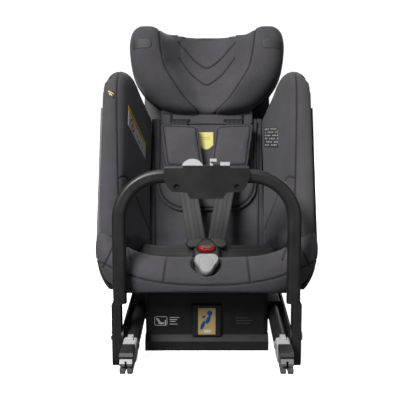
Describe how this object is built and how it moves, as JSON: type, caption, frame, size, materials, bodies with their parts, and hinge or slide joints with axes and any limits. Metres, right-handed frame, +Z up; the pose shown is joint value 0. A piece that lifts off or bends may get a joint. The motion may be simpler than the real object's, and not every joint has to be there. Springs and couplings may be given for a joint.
{
  "type": "convertible car seat",
  "caption": "Rear-facing child car seat: padded bucket on a low rocking base with rigid anchor arms, a rebound arch with controls, winged sliding headrest and harness.",
  "frame": {"origin": "centre of the base's flat rest face", "axes": "+X to the right of someone facing the foot end, +Y from the foot end (anchor arms) to the head end, +Z up"},
  "size_m": [0.44, 0.6292, 0.6523],
  "materials": {
    "base_plastic": "matte",
    "arch_plastic": "matte",
    "shell_plastic": "matte",
    "dark_steel": "satin",
    "bare_steel": "satin",
    "rail_aluminium": "satin",
    "connector_grey": "satin",
    "knob_grey": "satin",
    "control_white": "satin",
    "red_plastic": "satin",
    "label_film": "satin",
    "column_film": "satin",
    "cover_fabric": "matte",
    "webbing": "matte",
    "liner_foam": "matte"
  },
  "bodies": {
    "base": {"base_tray": "base_plastic", "base_cover": "base_plastic", "base_column": "base_plastic", "cradle_rails": "base_plastic", "isofix_housings": "base_plastic", "arch_brackets": "dark_steel", "arch_pins": "bare_steel", "base_screws": "bare_steel", "base_labels": "label_film", "column_label": "column_film"},
    "isofix_carriage": {"isofix_tube_left": "dark_steel", "isofix_tube_right": "dark_steel", "isofix_crossbar": "dark_steel", "connector_body_left": "connector_grey", "connector_body_right": "connector_grey", "isofix_claw_left": "bare_steel", "isofix_claw_right": "bare_steel", "jaw_pins": "bare_steel"},
    "jaw_left": {"claw_jaw_left": "bare_steel"},
    "jaw_right": {"claw_jaw_right": "bare_steel"},
    "cap_left": {"release_cap_left": "shell_plastic"},
    "cap_right": {"release_cap_right": "shell_plastic"},
    "arch": {"arch_sleeve_left": "arch_plastic", "arch_sleeve_right": "arch_plastic", "arch_core": "bare_steel", "arch_arm_left": "arch_plastic", "arch_arm_right": "arch_plastic", "control_box_front": "arch_plastic", "control_box_rear": "arch_plastic", "control_box_screws": "dark_steel", "thumbwheel_axle": "bare_steel"},
    "wheel": {"thumbwheel": "control_white"},
    "lever": {"arch_lever": "control_white"},
    "arch_push": {"arch_button": "control_white"},
    "shell": {"shell_bucket": "shell_plastic", "shell_foam": "liner_foam", "wing_pad_left": "cover_fabric", "wing_pad_right": "cover_fabric", "side_rails": "rail_aluminium", "rail_screws": "dark_steel", "front_roll": "cover_fabric", "adjuster_housing": "shell_plastic", "seat_pad": "cover_fabric", "back_pad": "cover_fabric", "buckle_body": "shell_plastic", "crotch_strap": "webbing", "harness_straps": "webbing", "lap_straps": "webbing", "head_guides": "shell_plastic"},
    "knob": {"adjuster_knob": "knob_grey"},
    "buckle_push": {"buckle_button": "red_plastic"},
    "headrest": {"headrest_shell": "shell_plastic", "headrest_cushion": "cover_fabric", "headrest_carrier": "shell_plastic", "headrest_posts": "bare_steel", "headrest_tabs": "shell_plastic", "shoulder_pad_left": "cover_fabric", "shoulder_pad_right": "cover_fabric", "shoulder_straps": "webbing"},
    "head_lever": {"headrest_lever": "red_plastic"}
  },
  "joints": [
    {"name": "isofix_slide", "type": "slide", "parent": "base", "child": "isofix_carriage", "axis": [0, 1, 0], "range_m": [0, 0.12]},
    {"name": "cap_left_slide", "type": "slide", "parent": "isofix_carriage", "child": "cap_left", "axis": [0, 1, 0], "range_m": [0, 0.006], "stiffness_N_per_m": 300, "springref_m": -0.002},
    {"name": "cap_right_slide", "type": "slide", "parent": "isofix_carriage", "child": "cap_right", "axis": [0, 1, 0], "range_m": [0, 0.006], "stiffness_N_per_m": 300, "springref_m": -0.002},
    {"name": "jaw_left_hinge", "type": "hinge", "parent": "isofix_carriage", "child": "jaw_left", "pos_m": [-0.14, -0.368, 0.056], "axis": [1, 0, 0], "range_deg": [0, 50]},
    {"name": "jaw_right_hinge", "type": "hinge", "parent": "isofix_carriage", "child": "jaw_right", "pos_m": [0.14, -0.368, 0.056], "axis": [1, 0, 0], "range_deg": [0, 50]},
    {"name": "arch_fold", "type": "hinge", "parent": "base", "child": "arch", "pos_m": [0, -0.288, 0.072], "axis": [1, 0, 0], "range_deg": [0, 60]},
    {"name": "thumbwheel_turn", "type": "hinge", "parent": "arch", "child": "wheel", "pos_m": [-0.026, -0.24998, 0.38167], "axis": [0, -0.9925, 0.1219], "continuous": true},
    {"name": "lever_slide", "type": "slide", "parent": "arch", "child": "lever", "axis": [1, 0, 0], "range_m": [0, 0.007], "stiffness_N_per_m": 150, "springref_m": -0.001},
    {"name": "arch_button_press", "type": "slide", "parent": "arch", "child": "arch_push", "axis": [0, -0.1219, -0.9925], "range_m": [0, 0.003], "stiffness_N_per_m": 500, "springref_m": -0.001},
    {"name": "recline", "type": "hinge", "parent": "base", "child": "shell", "pos_m": [0, -0.06, 0.555], "axis": [1, 0, 0], "range_deg": [0, 10]},
    {"name": "knob_press", "type": "slide", "parent": "shell", "child": "knob", "axis": [0, 0.6, -0.8], "range_m": [0, 0.004], "stiffness_N_per_m": 600, "springref_m": -0.001},
    {"name": "buckle_press", "type": "slide", "parent": "shell", "child": "buckle_push", "axis": [0, 0.5, -0.866], "range_m": [0, 0.003], "stiffness_N_per_m": 800, "springref_m": -0.001},
    {"name": "headrest_raise", "type": "slide", "parent": "shell", "child": "headrest", "axis": [0, 0.454, 0.891], "range_m": [0, 0.12]},
    {"name": "headrest_lever_pull", "type": "slide", "parent": "headrest", "child": "head_lever", "axis": [0, 0.454, 0.891], "range_m": [0, 0.006], "stiffness_N_per_m": 400, "springref_m": -0.001}
  ],
  "couplings": [
    {"joint": "jaw_left_hinge", "follows": "cap_left_slide", "rad_per_m": 145.43},
    {"joint": "jaw_right_hinge", "follows": "cap_right_slide", "rad_per_m": 145.43}
  ]
}
